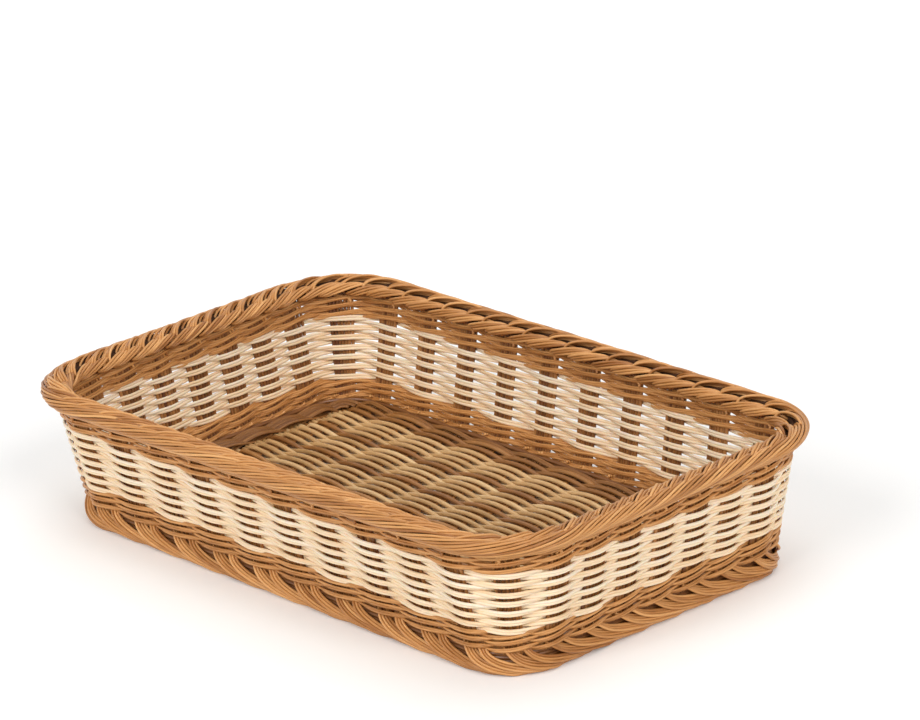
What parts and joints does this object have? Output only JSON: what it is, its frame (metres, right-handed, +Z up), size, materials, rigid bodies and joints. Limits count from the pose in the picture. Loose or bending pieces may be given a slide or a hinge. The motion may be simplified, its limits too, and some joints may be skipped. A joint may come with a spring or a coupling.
{
  "type": "bread basket",
  "caption": "Rectangular woven bread basket with leaning walls, a rolled rim, a cream band between brown bands, and a woven floor.",
  "frame": {"origin": "middle of the footprint, on the surface the basket stands on", "axes": "+X along the long side, +Y along the short side, +Z up through the open top"},
  "size_m": [0.53, 0.325, 0.107],
  "materials": {
    "honey_cane": "honey brown polypropylene cane, satin, faintly ribbed along the strand",
    "cream_cane": "cream polypropylene cane, satin, slightly translucent",
    "stake_cane": "darker brown polypropylene cane, satin",
    "steel_wire": "bright drawn steel wire, hidden inside the rim"
  },
  "bodies": {
    "root": {"rim_wire": "steel_wire", "rim_roll": "honey_cane", "rim_rope": "honey_cane", "foot_border": "honey_cane", "front_stakes": "stake_cane", "back_stakes": "stake_cane", "left_stakes": "stake_cane", "right_stakes": "stake_cane", "front_right_corner_stake": "stake_cane", "back_right_corner_stake": "stake_cane", "back_left_corner_stake": "stake_cane", "front_left_corner_stake": "stake_cane", "floor_sticks": "stake_cane", "floor_cream_strands": "cream_cane", "floor_brown_strands": "honey_cane", "lower_wale_1": "honey_cane", "lower_wale_2": "honey_cane", "upper_wale_1": "honey_cane", "upper_wale_2": "honey_cane", "cream_row_01": "cream_cane", "cream_row_02": "cream_cane", "cream_row_03": "cream_cane", "cream_row_04": "cream_cane", "cream_row_05": "cream_cane", "cream_row_06": "cream_cane", "cream_row_07": "cream_cane", "cream_row_08": "cream_cane", "cream_row_09": "cream_cane", "cream_row_10": "cream_cane", "cream_row_11": "cream_cane", "cream_row_12": "cream_cane", "cream_row_13": "cream_cane"}
  },
  "joints": []
}
